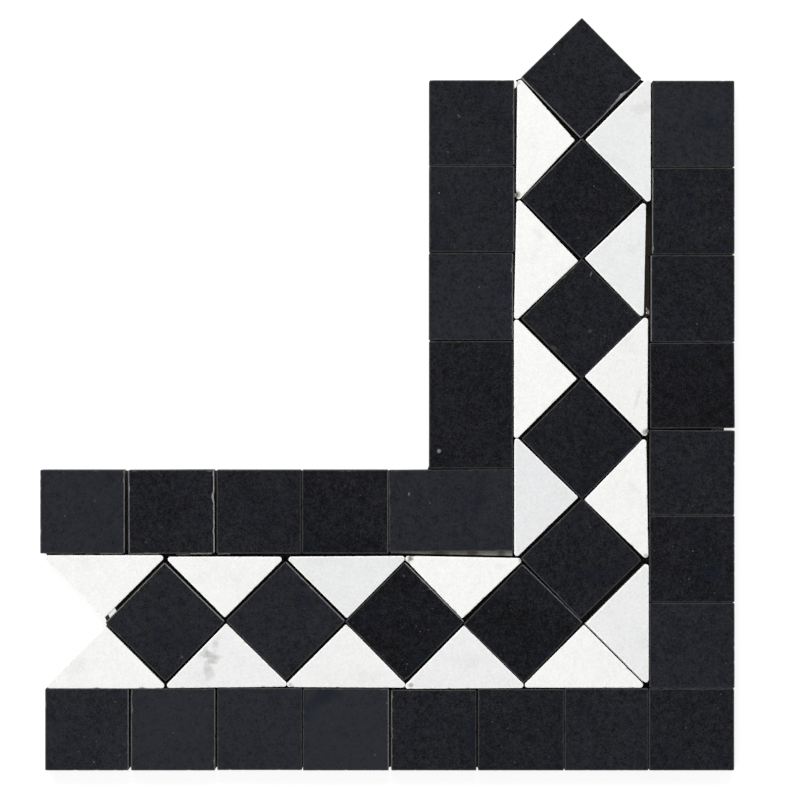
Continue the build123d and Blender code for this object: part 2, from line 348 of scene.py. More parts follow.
whiteLook = {
    "base": (0.985, 0.982, 0.965, 1),
    "cool": (0.84, 0.845, 0.855, 1),
    "cloud": (0.75, 0.75, 0.74, 1),
    "vein": (0.40, 0.41, 0.375, 1),
    "crystal": (0.82, 0.82, 0.82, 1),
    # edge colours, whiter than the top: a painted highlight along the rims
    "edgeDark": (0.93, 0.93, 0.925, 1),
    "edgeLight": (0.99, 0.99, 0.985, 1),
    "sawnDark": (0.60, 0.60, 0.585, 1),
    "sawnLight": (0.78, 0.78, 0.765, 1),
    "dust": (0.36, 0.33, 0.29, 1),
    "glue": (0.30, 0.20, 0.10, 1),
    "glueHeight": 3.0 * mm,
    "clouds": [
        dict(photoX=644, photoY=108, reach=2.6, strength=0.75, lengthwise=2.2, turn=8),
        dict(photoX=616, photoY=162, reach=2.4, strength=0.28, lengthwise=3.0, turn=-18),
        dict(photoX=632, photoY=250, reach=2.0, strength=0.30, lengthwise=1.8),
        dict(photoX=628, photoY=218, reach=1.2, strength=0.35, lengthwise=2.6, turn=40),
        dict(photoX=638, photoY=397, reach=0.8, strength=0.60, lengthwise=5.5, turn=74),
        dict(photoX=538, photoY=234, reach=1.8, strength=0.28, lengthwise=1.6, turn=-40),
        dict(photoX=626, photoY=472, reach=1.4, strength=0.22, lengthwise=1.4),
        dict(photoX=634, photoY=488, reach=0.8, strength=0.28, lengthwise=4.5, turn=-45),
        dict(photoX=76, photoY=668, reach=3.4, strength=0.30, lengthwise=1.7, turn=25),
        dict(photoX=86, photoY=562, reach=2.6, strength=0.16, lengthwise=2.4),
        dict(photoX=618, photoY=628, reach=1.2, strength=0.22, lengthwise=1.6),
        dict(photoX=562, photoY=494, reach=2.6, strength=0.25, lengthwise=2.0, turn=-45),
        dict(photoX=468, photoY=662, reach=3.4, strength=0.25, lengthwise=1.8),
        dict(photoX=330, photoY=560, reach=2.6, strength=0.18, lengthwise=3.0),
        dict(photoX=372, photoY=676, reach=2.4, strength=0.16, lengthwise=2.4),
        dict(photoX=500, photoY=566, reach=1.6, strength=0.2, lengthwise=1.6, turn=-20),
        dict(photoX=204, photoY=676, reach=2.6, strength=0.25, lengthwise=2.0, turn=70),
        dict(photoX=622, photoY=340, reach=2.8, strength=0.2, lengthwise=1.8, turn=35),
    ],
    "stain": (0.20, 0.17, 0.13, 1),
    "stains": [
        dict(photoX=410, photoY=559, reach=1.3, strength=0.9),
        dict(photoX=521, photoY=560, reach=1.0, strength=0.7),
        dict(photoX=517, photoY=195, reach=1.5, strength=0.9),
        dict(photoX=645, photoY=432, reach=1.3, strength=0.7),
        dict(photoX=646, photoY=556, reach=1.0, strength=0.5),
        dict(photoX=411, photoY=685, reach=1.0, strength=0.6),
        dict(photoX=290, photoY=684, reach=0.9, strength=0.5),
        dict(photoX=648, photoY=312, reach=0.8, strength=0.4),
        dict(photoX=518, photoY=83, reach=0.9, strength=0.4),
    ],
    "veins": [
        dict(photoX=213, photoY=656, reach=2.4, strength=0.75, lengthwise=1.5, turn=-12),
        dict(photoX=209, photoY=674, reach=2.0, strength=0.45, lengthwise=1.2, turn=-60),
        dict(photoX=216, photoY=643, reach=1.4, strength=0.45, lengthwise=2.4, turn=65),
        dict(photoX=204, photoY=651, reach=1.5, strength=0.40, lengthwise=2.2, turn=50),
        dict(photoX=207, photoY=666, reach=1.4, strength=0.45, lengthwise=2.6, turn=80),
    ],
}


def makeWhiteTop():
    paint = Paint("whiteMarble")
    tone = paint.attribute("tone")
    ragged = paint.grain(2.4 * mm, 4.0, 0.62, 2.0) * 1.5
    soft = paint.grain(7 * mm, 3.0, 0.5, 1.0)
    crystals = paint.grain(0.6 * mm, 2.0, 0.75, 3.0)
    colour = paint.blend((tone + soft * 0.35).ramp(0.0, 1.0), whiteLook["base"], whiteLook["cool"])
    drift = paint.grain(11 * mm, 4.0, 0.55, 8.0, (1, 0.45, 1), 1.5)
    wisps = 1 - (drift.size() / 0.05).ramp(0.0, 1.0)
    cloudy = paint.spots(whiteLook["clouds"], ragged) + wisps * 0.10 + soft.ramp(0.05, 0.35) * 0.25
    colour = paint.blend(cloudy.atMost(0.9), colour, whiteLook["cloud"])
    streaks = 0.75 + paint.grain(0.9 * mm, 3.0, 0.6, 5.0) * 1.6
    veined = (paint.spots(whiteLook["veins"], ragged * 1.3) * streaks).atMost(0.9).atLeast(0.0)
    colour = paint.blend(veined, colour, whiteLook["vein"])
    stained = paint.spots(whiteLook["stains"], ragged).atMost(0.9)
    colour = paint.blend(stained, colour, whiteLook["stain"])
    sparkle = paint.blend(crystals.ramp(-0.3, 0.3), whiteLook["crystal"], (1, 1, 1, 1))
    inputs = {0: 0.75, 6: colour, 7: sparkle}
    colour = paint.node("ShaderNodeMix", 2, inputs, data_type="RGBA", blend_type="MULTIPLY")
    roughness = 0.42 + crystals * 0.25
    return paint.finish(colour, roughness, paint.bump(crystals, 0.015 * mm, 0.4), Specular_IOR_Level=0.3)


def makeWhiteEdge():
    paint = Paint("whiteMarbleEdgePaintedHighlight")
    crystals = paint.grain(0.4 * mm, 3.0, 0.7, 3.0)
    # the edge is painted whiter than the top, a painted highlight along the rim; the stains on it are real
    colour = paint.blend(crystals.ramp(-0.5, 0.3), whiteLook["edgeDark"], whiteLook["edgeLight"])
    stained = paint.spots(whiteLook["stains"], crystals * 1.5).atMost(0.9)
    colour = paint.blend(stained, colour, whiteLook["stain"])
    return paint.finish(colour, 0.5 + crystals * 0.3, paint.bump(crystals, 0.04 * mm, 0.4))


def makeWhiteSide():
    paint = Paint("whiteMarbleSawn")
    saw = paint.grain(1.2 * mm, 2.0, 0.6, 4.0, (0.15, 0.15, 3.0))
    crystals = paint.grain(0.5 * mm, 2.0, 0.6, 3.0)
    blotches = paint.grain(3.2 * mm, 4.0, 0.6, 6.0)
    value = (0.5 + saw + crystals * 0.6).ramp(0.0, 1.0)
    colour = paint.blend(value, whiteLook["sawnDark"], whiteLook["sawnLight"])
    dust = (blotches * 1.4 + 0.25).ramp(0.1, 0.7) * 0.35
    colour = paint.blend(dust, colour, whiteLook["dust"])
    glue = ((whiteLook["glueHeight"] - paint.z) / mm + blotches * 5.0).ramp(0.0, 1.8) * 0.7
    colour = paint.blend(glue, colour, whiteLook["glue"])
    height = saw + crystals * 0.6
    return paint.finish(colour, 0.6 + saw * 0.2 - glue * 0.2, paint.bump(height, 0.06 * mm, 0.7))


blackSlots = [makeBlackTop(), makeBlackEdge(), makeBlackSide(), makeLedge()]
whiteSlots = [makeWhiteTop(), makeWhiteEdge(), makeWhiteSide()]
print("scene: stone materials made")


# stones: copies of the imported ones, with worn and chipped top edges

compass = {
    "east": 0, "northEast": 45, "north": 90, "northWest": 135,
    "west": 180, "southWest": 225, "south": 270, "southEast": 315,
}

stoneLook = {
    "step": 0.55 * mm,  # between points along an edge
    "chamfer": 0.3 * mm,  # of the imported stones
    "wear": 0.07 * mm,
    "chip": 0.34 * mm,
    "whiteDrop": 0.35,  # share of the chamfer's depth that a white stone's flatter edge keeps
    "ledge": 1.4 * mm,  # a level face deeper than this is the saw's ledge
    # the painted lightness of a black stone's edge: partly pale worn stone, partly painted highlight
    "edgePaleAndHighlight": 0.11,  # how light the edge of a black stone is
    # the tile's outside edges get less painted highlight
    "outsideEdgeHighlight": 0.05,
    "outsides": {
        "north_inner": "west", "north_outer": "east", "west_inner": "north", "west_outer": "south",
    },
    # how light a stone is beside the others of its colour, from the photograph
    "tones": {
        "corner_square": 0.45, "north_diamond_1": 0.5, "north_diamond_2": 0.3, "north_diamond_4": 0.3,
        "north_inner_square_1": 0.55, "north_inner_square_2": 0.62, "north_inner_square_3": 0.75,
        "north_outer_square_1": 0.85, "north_outer_square_4": 0.15, "north_outer_square_5": 0.5,
        "north_outer_square_6": 0.3, "north_outer_square_7": 0.7, "north_inner_bar": 0.28,
        "west_diamond_1": 0.65, "west_diamond_2": 0.7, "west_diamond_3": 0.15, "west_diamond_4": 0.15,
        "west_inner_bar": 0.85, "west_inner_square_1": 0.9, "west_inner_square_4": 0.15,
        "west_outer_square_1": 0.72, "west_outer_square_2": 1.05, "west_outer_square_3": 0.92,
        "west_outer_square_4": 1.25, "west_outer_square_5": 0.45, "west_outer_square_7": 0.55,
        # white ones: how far towards grey
        "north_inner_triangle_1": 0.1, "north_inner_triangle_2": 0.15, "north_inner_triangle_3": 0.0,
        "north_inner_triangle_4": 0.85, "north_outer_triangle_1": 0.75, "north_outer_triangle_2": 0.7,
        "north_outer_triangle_3": 0.4, "north_outer_triangle_4": 0.2, "north_outer_triangle_5": 0.6,
        "west_inner_triangle_1": 0.15, "west_inner_triangle_2": 0.3, "west_inner_triangle_3": 0.75,
        "west_inner_triangle_4": 0.05, "west_outer_triangle_1": 0.25, "west_outer_triangle_2": 0.55,
        "west_outer_triangle_3": 0.45, "west_outer_triangle_4": 0.6, "west_outer_triangle_5": 0.15,
    },
    # how much fine pale dust shows in a black stone
    "specked": {
        "west_diamond_3": 1.6, "west_diamond_4": 0.9, "north_diamond_3": 0.9, "west_outer_square_6": 1.0,
        "west_outer_square_1": 0.7, "north_inner_square_2": 0.7, "north_outer_square_6": 0.8,
        "north_outer_square_7": 0.7, "north_outer_square_5": 0.7, "west_inner_square_2": 0.7,
        "west_inner_square_4": 0.7, "north_inner_bar": 0.6, "corner_square": 0.5,
        "north_outer_square_2": 0.5,
    },
    # edges painted lighter as a painted highlight, by the side they look to
    "edgeHighlights": {
        "west_inner_square_1": {"east": 0.42},
        "west_inner_square_2": {"west": 0.38, "east": 0.75},
        "west_inner_square_4": {"east": 0.3},
        "north_inner_square_1": {"east": 0.32},
        "north_inner_square_2": {"east": 0.3},
        "north_inner_square_3": {"east": 0.34},
        "north_outer_square_2": {"west": 0.38},
        "north_outer_square_3": {"west": 0.38},
        "west_outer_square_1": {"east": 0.35},
        "west_outer_square_2": {"west": 0.28, "east": 0.35},
        "west_outer_square_4": {"east": 0.42},
        "west_outer_square_5": {"west": 0.3},
        "north_diamond_1": {"southWest": 0.5, "southEast": 0.45, "northWest": 0.06, "northEast": 0.06},
        "corner_square": {"south": 0.05, "east": 0.05},
        "north_diamond_2": {"northWest": 0.25, "northEast": 0.2},
        "north_diamond_5": {"southWest": 0.14},
        "west_diamond_1": {"northWest": 0.34, "northEast": 0.5},
        "west_diamond_2": {"northWest": 0.16, "northEast": 0.42},
        "west_diamond_3": {"northEast": 0.5},
        "west_diamond_4": {"northEast": 0.36},
    },
    # chipped places; pale is how much lighter the broken stone looks
    "chips": {
        "north_diamond_1": [
            dict(photoX=619, photoY=101, reach=3.0, depth=0.9, pale=0.25),
            dict(photoX=625, photoY=95, reach=1.6, depth=0.8, pale=0.3),
            dict(photoX=611, photoY=110, reach=1.8, depth=0.5, pale=0.2),
        ],
        "west_inner_square_2": [
            dict(photoX=213, photoY=497, reach=1.7, depth=0.8, pale=0.1),
            dict(photoX=211, photoY=471, reach=1.6, depth=0.7, pale=0.1),
            dict(photoX=213, photoY=531, reach=0.9, depth=0.4, pale=0.1),
        ],
        "west_inner_square_1": [dict(photoX=123, photoY=480, reach=1.0, depth=0.4, pale=0.1)],
        "north_inner_triangle_1": [dict(photoX=517, photoY=194, reach=1.6, depth=1.0, pale=0)],
        "west_inner_triangle_4": [dict(photoX=412, photoY=558, reach=1.2, depth=0.8, pale=0)],
        "west_outer_triangle_3": [dict(photoX=292, photoY=684, reach=1.4, depth=0.8, pale=0)],
        "west_outer_triangle_4": [dict(photoX=412, photoY=685, reach=1.4, depth=0.8, pale=0)],
        "north_outer_triangle_3": [dict(photoX=645, photoY=431, reach=1.2, depth=0.8, pale=0)],
    },
}


def looksTo(side, outward):
    bearing = degrees(atan2(outward.y, outward.x))
    return abs((bearing - compass[side] + 180) % 360 - 180) < 25


# how much painted highlight an edge gets, by the side it looks to
def edgeHighlightOf(name, outward):
    for side, edgePaleAndHighlight in stoneLook["edgeHighlights"].get(name, {}).items():
        if looksTo(side, outward):
            return edgePaleAndHighlight
    for row, side in stoneLook["outsides"].items():
        if name.startswith(row) and looksTo(side, outward):
            return stoneLook["outsideEdgeHighlight"]
    return stoneLook["edgePaleAndHighlight"]


def isLevel(edge):
    return abs(edge.verts[0].co.z - edge.verts[1].co.z) < 0.01 * mm


def splitEdges(shape):
    # short pieces along the chamfer
    runs = []
    for face in shape.faces:
        if 0.3 < face.normal.z < 0.95 and face.calc_area() > 0.3 * mm * mm:
            level = [edge for edge in face.edges if isLevel(edge)]
            runs.append((level, max(edge.calc_length() for edge in level)))
    for level, length in runs:
        cuts = max(1, round(length / stoneLook["step"]) - 1)
        bmesh.ops.subdivide_edges(shape, edges=level, cuts=cuts, use_grid_fill=True)
    shape.normal_update()


def wearEdges(shape, name, white, edgePaleAndHighlightLayer):
    high = max(vertex.co.z for vertex in shape.verts)
    seed = stoneSeeds[name]
    shift = Vector((seed * 31.7, seed * 17.3, seed * 5.1))
    for vertex in shape.verts:
        if vertex.co.z < high - stoneLook["chamfer"] - 0.01 * mm:
            continue
        place = vertex.co / mm
        outward = Vector((vertex.normal.x, vertex.normal.y, 0)).normalized()
        onTop = vertex.co.z > high - 0.01 * mm
        chip = max(0.0, noise.noise(place / 1.3 + shift) - 0.28) * 2.2 * stoneLook["chip"]
        chip += abs(noise.noise(place / 0.7 + shift)) * stoneLook["wear"]
        # painted highlight on the edge, with chips adding pale broken stone
        edgePaleAndHighlight = edgeHighlightOf(name, outward)
        for spot in stoneLook["chips"].get(name, []):
            centre = Vector(fromPhoto(spot["photoX"], spot["photoY"]))
            away = (vertex.co.xy - centre).length / (spot["reach"] * mm)
            if away < 1:
                share = (1 - away * away) * (0.75 + 0.5 * noise.noise(place / 0.6 + shift))
                chip += spot["depth"] * mm * share
                edgePaleAndHighlight += spot["pale"] * share
        vertex[edgePaleAndHighlightLayer] = edgePaleAndHighlight
        if onTop:
            vertex.co -= outward * chip * 0.8
        else:
            if white:
                vertex.co.z = high - (high - vertex.co.z) * stoneLook["whiteDrop"]
            vertex.co -= outward * chip * 0.25
            vertex.co.z -= chip * 0.8


def makeStone(name):
    white = "triangle" in name
    shape = bmesh.new()
    shape.from_mesh(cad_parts[name].data)
    bmesh.ops.remove_doubles(shape, verts=shape.verts, dist=0.001 * mm)
    bmesh.ops.dissolve_limit(shape, angle_limit=0.02, verts=shape.verts, edges=shape.edges)
    splitEdges(shape)
    layers = {label: shape.verts.layers.float.new(label) for label in ("seed", "tone", "specked", "edgePaleAndHighlight")}
    for vertex in shape.verts:
        vertex[layers["seed"]] = stoneSeeds[name]
        vertex[layers["tone"]] = stoneLook["tones"].get(name, 0.4)
        vertex[layers["specked"]] = stoneLook["specked"].get(name, 0.35)
    wearEdges(shape, name, white, layers["edgePaleAndHighlight"])
    shape.normal_update()
    for face in shape.faces:
        height = stoneTop - face.calc_center_median().z
        face.smooth = False
        if face.normal.z > 0.1:
            face.material_index = 3 if height > stoneLook["ledge"] else 1
        else:
            face.material_index = 2
        if face.normal.z > 0.95 and height < 0.05 * mm:
            face.material_index = 0
    mesh = bpy.data.meshes.new(name + "_stone")
    shape.to_mesh(mesh)
    shape.free()
    for material in whiteSlots if white else blackSlots:
        mesh.materials.append(material)
    stone = bpy.data.objects.new(name + "_stone", mesh)
    bpy.context.collection.objects.link(stone)
    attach(stone, "root")
    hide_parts(name)


for name in stoneNames:
    makeStone(name)
print("scene: stones made", len(stoneNames))


# backing mesh: flat weft ribbons, with pairs of warp yarns that weave past them

meshLook = {
    "cell": 5.0 * mm,
    "margin": 2.5 * mm,
    "height": 0.17 * mm,  # of the middle of the weave
    "ribbonWidth": 0.95 * mm,
    "ribbonThick": 0.15 * mm,
    "yarnWidth": 0.36 * mm,
    "yarnThick": 0.15 * mm,
    "sway": 0.24 * mm,  # of the yarns to the side, and up and down
    "wave": 0.08 * mm,
    "dip": 0.03 * mm,  # of the ribbons between the yarns
    "drift": 0.06 * mm,
    "dark": (0.50, 0.49, 0.45, 1),
    "light": (0.76, 0.75, 0.71, 1),
    "resin": (0.42, 0.33, 0.20, 1),
}


def makeMeshPaint():
    paint = Paint("backingMesh")
    threads = paint.grain(0.25 * mm, 2.0, 0.7, 1.0, (0.3, 0.3, 1))
    resin = paint.grain(6 * mm, 3.0, 0.6, 2.0).ramp(-0.05, 0.25)
    colour = paint.blend(threads.ramp(-0.4, 0.4), meshLook["dark"], meshLook["light"])
    colour = paint.blend(resin * 0.6, colour, meshLook["resin"])
    return paint.finish(colour, 0.55 - resin * 0.3, paint.bump(threads, 0.05 * mm, 0.8))


def meshOutline():
    # corners of the whole sheet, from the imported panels
    arm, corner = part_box("mesh_north_arm"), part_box("mesh_corner")
    point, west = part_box("mesh_north_point"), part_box("mesh_west_inner")
    south, east, north = corner[0][1], corner[1][0], arm[1][1]
    pointX, pointRise = (point[0][0] + point[1][0]) / 2, (point[1][0] - point[0][0]) / 2
    notchRise = pointRise + 2 * meshLook["margin"] * (2 ** 0.5 - 1)
    westX, notchY = west[0][0], west[0][1]
    return [
        Vector((westX, south)), Vector((east, south)), Vector((east, north)),
        Vector((pointX + pointRise, north)), Vector((pointX, point[1][1])),
        Vector((pointX - pointRise, north)), Vector((arm[0][0], north)),
        Vector((arm[0][0], west[1][1])), Vector((westX, west[1][1])),
        Vector((westX, notchY + notchRise)), Vector((westX + notchRise, notchY)),
        Vector((westX, notchY - notchRise)),
    ]


def spansAlong(outline, axis, value):
    # where a line at that x (axis 0) or y (axis 1) lies inside the outline
    crossings = []
    for first, second in zip(outline, outline[1:] + outline[:1]):
        if (first[axis] > value) != (second[axis] > value):
            share = (value - first[axis]) / (second[axis] - first[axis])
            crossings.append(first.lerp(second, share)[1 - axis])
    crossings.sort()
    return zip(crossings[::2], crossings[1::2])


def makeStrand(start, end, width, thick, step):
    # straight flat strand along x, in short pieces so that it can be bent
    shape = bmesh.new()
    bmesh.ops.create_cube(shape, size=1)
    bmesh.ops.scale(shape, verts=shape.verts, vec=(end - start, width, thick))
    bmesh.ops.translate(shape, verts=shape.verts, vec=((start + end) / 2, 0, 0))
    lengthwise = [edge for edge in shape.edges if edge.calc_length() > 0.9 * (end - start)]
    bmesh.ops.bevel(
        shape, geom=lengthwise, offset=thick * 0.4, affect="EDGES", segments=1, profile=0.5, material=-1
    )
    lengthwise = [edge for edge in shape.edges if edge.calc_length() > 0.9 * (end - start)]
    cuts = max(1, round((end - start) / step) - 1)
    bmesh.ops.subdivide_edges(shape, edges=lengthwise, cuts=cuts, use_grid_fill=True)
    return shape


def joinInto(whole, shape):
    piece = bpy.data.meshes.new("piece")
    shape.to_mesh(piece)
    shape.free()
    whole.from_mesh(piece)
    bpy.data.meshes.remove(piece)


def makeMesh(material):
    look = meshLook
    cell = look["cell"]
    outline = meshOutline()
    pointX, north = outline[4].x, outline[2].y
    whole = bmesh.new()
    for k in range(-30, 30):
        y = north + k * cell
        for start, end in spansAlong(outline, 1, y - 0.01 * mm):
            strand = makeStrand(start, end, look["ribbonWidth"], look["ribbonThick"], cell / 3)
            for vertex in strand.verts:
                dip = cos(2 * pi * (vertex.co.x - pointX) / cell)
                vertex.co.y += y + look["drift"] * noise.noise((vertex.co.x / cell, k * 3.1, 0))
                vertex.co.z += look["height"] - look["dip"] * dip
            joinInto(whole, strand)
        x = pointX + k * cell
        for start, end in spansAlong(outline, 0, x + 0.01 * mm):
            for side in (-1, 1):
                strand = makeStrand(start, end, look["yarnWidth"], look["yarnThick"], cell / 4)
                for vertex in strand.verts:
                    phase = pi * (vertex.co.x - north) / cell
                    across = vertex.co.y + side * look["sway"] * cos(phase)
                    lift = vertex.co.z + side * look["wave"] * cos(phase)
                    vertex.co = Vector((x - across, vertex.co.x, look["height"] + lift))
                joinInto(whole, strand)
    mesh = bpy.data.meshes.new("backing_mesh")
    whole.to_mesh(mesh)
    whole.free()
    mesh.materials.append(material)
    sheet = bpy.data.objects.new("backing_mesh", mesh)
    bpy.context.collection.objects.link(sheet)
    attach(sheet, "root")
    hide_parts(*[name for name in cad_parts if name.startswith("mesh")])
    return sheet


backing = makeMesh(makeMeshPaint())
print("scene: backing mesh made", len(backing.data.polygons))


# glue: a thin film along the joints, squeezed out below the stones; its near-black colour is partly real
# glue and partly painted shade in the joints

glueShadeLook = {
    "under": 1.3 * mm,  # how far it spreads below each stone
    "into": 1.15 * mm,  # how far it reaches out into a joint
    "tips": 1.5 * mm,  # and past a stone's corner
    "search": 1.3 * mm,  # how near another stone has to be
    "back": 0.15 * mm,  # how far it stays back from the tile's outside
    "bottom": 0.335 * mm,
    "layer": 0.001 * mm,  # each stone's film lies this much lower than the one before
    "thickness": 0.06 * mm,
    # near-black colours: partly dried glue, partly painted shade at the bottom of the joints
    "dark": (0.012, 0.009, 0.006, 1),
    "light": (0.050, 0.034, 0.020, 1),
    # places where the joint is open right through
    "openings": [
        dict(photoX=726, photoY=428, reach=3.4),
        dict(photoX=392, photoY=769, reach=0.9),
        dict(photoX=112, photoY=614, reach=1.6),
        dict(photoX=515, photoY=84, reach=1.2),
    ],
}


def makeGlueShadePaint():
    paint = Paint("driedGlueAndJointShade")
    lumps = paint.grain(1.5 * mm, 4.0, 0.6, 2.0)
    # painted shade: the film is coloured near black, as glue and as the shade in the joints
    colour = paint.blend(lumps.ramp(-0.3, 0.3), glueShadeLook["dark"], glueShadeLook["light"])
    return paint.finish(colour, 0.6 + lumps * 0.3, paint.bump(lumps, 0.15 * mm, 0.8))


def outlineOf(name):
    # corners of the stone's underside, clockwise seen from above
    shape = bmesh.new()
    shape.from_mesh(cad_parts[name].data)
    bmesh.ops.remove_doubles(shape, verts=shape.verts, dist=0.001 * mm)
    shape.normal_update()
    others = [face for face in shape.faces if face.normal.z > -0.99]
    bmesh.ops.delete(shape, geom=others, context="FACES")
    bmesh.ops.dissolve_limit(shape, angle_limit=0.02, verts=shape.verts, edges=shape.edges)
    shape.faces.ensure_lookup_table()
    outline = [loop.vert.co.xy for loop in shape.faces[0].loops]
    shape.free()
    return outline


def isInside(point, corners):
    for first, second in zip(corners, corners[1:] + corners[:1]):
        if (second - first).cross(point - first) > 0:
            return False
    return True


def sidesOf(outline):
    # straight sides of a stone: outward direction, and how far out they lie
    sides = []
    for first, second in zip(outline, outline[1:] + outline[:1]):
        if (second - first).length > 3 * mm:
            outward = Vector((first.y - second.y, second.x - first.x)).normalized()
            sides.append((outward, outward.dot(first)))
    return sides


def meeting(first, second):
    # where two sides meet, once they are moved out into the joints
    (normalA, farA), (normalB, farB) = first, second
    farA, farB = farA + glueShadeLook["into"], farB + glueShadeLook["into"]
    x = farA * normalB.y - farB * normalA.y
    y = farB * normalA.x - farA * normalB.x
    return Vector((x, y)) / normalA.cross(normalB)


def isCovered(point, limits, others):
    # another stone is there, or just beyond the sides that the point has passed
    passed = [outward for outward, far in limits if outward.dot(point) > far]
    probes = [point] + [point + outward * glueShadeLook["search"] for outward in passed]
    return any(isInside(probe, other) for probe in probes for other in others)


def keepBack(vertex, limits):
    for outward, far in limits:
        over = outward.dot(vertex.co.xy) - far + glueShadeLook["back"]
        if over > 0:
            vertex.co.xy -= outward * over


def makeFilm(outline, others, level):
    film = bmesh.new()
    sides = sidesOf(outline)
    limits = list(sides)
    pairs = list(zip(sides[-1:] + sides[:-1], sides))
    for before, after in pairs:
        film.verts.new((*meeting(before, after), level))
    bmesh.ops.contextual_create(film, geom=film.verts)
    for before, after in pairs:
        towards = (before[0] + after[0]).normalized()
        tip = max(towards.dot(corner) for corner in outline)
        limits.append((towards, tip))
        everything = film.verts[:] + film.edges[:] + film.faces[:]
        place, facing = (*towards * (tip + glueShadeLook["tips"]), 0), (*towards, 0)
        bmesh.ops.bisect_plane(film, geom=everything, plane_co=place, plane_no=facing, clear_outer=True)
    middle = film.faces[:]
    reach = glueShadeLook["under"] + glueShadeLook["into"]
    bmesh.ops.inset_region(
        film, faces=middle, thickness=reach, use_boundary=True, use_even_offset=True
    )
    bmesh.ops.delete(film, geom=middle, context="FACES")
    lengthwise = [edge for edge in film.edges if edge.calc_length() > 4 * mm]
    bmesh.ops.subdivide_edges(film, edges=lengthwise, cuts=18, use_grid_fill=True)
    bareSides = {}
    for vertex in film.verts:
        if isInside(vertex.co.xy, outline) or isCovered(vertex.co.xy, limits, others):
            continue
        bareSides[vertex] = [side for side in sides if side[0].dot(vertex.co.xy) > side[1]]
    for vertex in film.verts:
        if vertex in bareSides:
            keepBack(vertex, limits)
            continue
        # a point next to a bare side stays back from that side too
        for edge in vertex.link_edges:
            near = bareSides.get(edge.other_vert(vertex), [])
            if len(near) == 1:
                keepBack(vertex, near)
    film.normal_update()
    for face in film.faces:
        if face.normal.z > 0:
            face.normal_flip()
    return film


def makeGlue(material):
    outlines = {name: outlineOf(name) for name in stoneNames}
    whole = bmesh.new()
    for number, name in enumerate(stoneNames):
        others = [outlines[other] for other in stoneNames if other != name]
        level = glueShadeLook["bottom"] - glueShadeLook["layer"] * number
        joinInto(whole, makeFilm(outlines[name], others, level))
    bare = []
    for opening in glueShadeLook["openings"]:
        centre = Vector(fromPhoto(opening["photoX"], opening["photoY"]))
        for face in whole.faces:
            if (face.calc_center_median().xy - centre).length < opening["reach"] * mm:
                bare.append(face)
    bmesh.ops.delete(whole, geom=list(set(bare)), context="FACES")
    mesh = bpy.data.meshes.new("joint_glue_shade_sheet")
    whole.to_mesh(mesh)
    whole.free()
    mesh.materials.append(material)
    film = bpy.data.objects.new("joint_glue_shade_sheet", mesh)
    bpy.context.collection.objects.link(film)
    shell = film.modifiers.new("thickness", "SOLIDIFY")
    shell.thickness = glueShadeLook["thickness"]
    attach(film, "root")
    return film


# the dark film stands for glue and for painted shade in the joints
glue = makeGlue(makeGlueShadePaint())
print("scene: glue made", len(glue.data.polygons))


# dust and glue that stick up in the joint below the inner row of the west arm, and at two corners

crumbLook = {
    "top": 0.22 * mm,  # below the stones' top
    "height": 1.6 * mm,
    "step": 0.5 * mm,  # between points along a strip
    "dark": (0.018, 0.008, 0.004, 1),
    "light": (0.34, 0.29, 0.22, 1),
    "white": (0.60, 0.60, 0.58, 1),
    "strips": [
        dict(photoX=66, photoY=554.4, length=5.0, width=0.4, pale=0.1),
        dict(photoX=89, photoY=554.4, length=2.3, width=0.4, pale=0.15),
        dict(photoX=111, photoY=553.6, length=6.7, width=0.4, pale=0.35),
        dict(photoX=144, photoY=553.5, length=9.0, width=0.5, pale=0.42),
        dict(photoX=183, photoY=554.3, length=4.1, width=0.6, pale=0.12),
        dict(photoX=201, photoY=553.3, length=6.4, width=0.6, pale=0.5),
        dict(photoX=224, photoY=553.8, length=3.8, width=0.4, pale=0.32),
        dict(photoX=407, photoY=559.5, length=1.2, width=1.0, pale=0.5),
        dict(photoX=515, photoY=195, length=1.2, width=1.0, pale=0.5),
        dict(photoX=409, photoY=684, length=0.9, width=0.7, pale=0.4),
        dict(photoX=290, photoY=683, length=1.2, width=0.6, pale=0.4),
        dict(photoX=647, photoY=431, length=0.9, width=1.0, pale=0.5),
        # white dust between the two stones on the mitre
        dict(photoX=614.5, photoY=652, length=24.0, width=0.55, pale=1.25, turn=-45),
    ],
}


def makeCrumbPaint():
    paint = Paint("jointDust")
    grains = paint.grain(0.5 * mm, 3.0, 0.7, 2.0)
    tone = paint.attribute("tone")
    pale = (tone + grains * 0.9).ramp(0.0, 1.0)
    colour = paint.blend(pale, crumbLook["dark"], crumbLook["light"])
    colour = paint.blend(tone.ramp(0.9, 1.2), colour, crumbLook["white"])
    return paint.finish(colour, 0.8, paint.bump(grains, 0.1 * mm, 0.8))


def makeStrip(photoX, photoY, length, width, pale, turn=0):
    length = length * mm
    shape = bmesh.new()
    bmesh.ops.create_cube(shape, size=1)
    bmesh.ops.scale(shape, verts=shape.verts, vec=(length, width * mm, crumbLook["height"]))
    bmesh.ops.bevel(
        shape, geom=shape.edges, offset=0.12 * mm, affect="EDGES", segments=1, profile=0.5, material=-1
    )
    lengthwise = [edge for edge in shape.edges if edge.calc_length() > 0.7 * length]
    cuts = max(2, round(length / crumbLook["step"]))
    bmesh.ops.subdivide_edges(shape, edges=lengthwise, cuts=cuts, use_grid_fill=True)
    for vertex in shape.verts:
        lump = noise.noise(vertex.co / (1.1 * mm) + Vector((photoX, photoY, 0)))
        vertex.co.y += 0.15 * mm * lump
        vertex.co.z += 0.20 * mm * lump
    bmesh.ops.rotate(shape, verts=shape.verts, matrix=Matrix.Rotation(radians(turn), 3, "Z"))
    middle = stoneTop - crumbLook["top"] - crumbLook["height"] / 2
    bmesh.ops.translate(shape, verts=shape.verts, vec=(*fromPhoto(photoX, photoY), middle))
    return shape


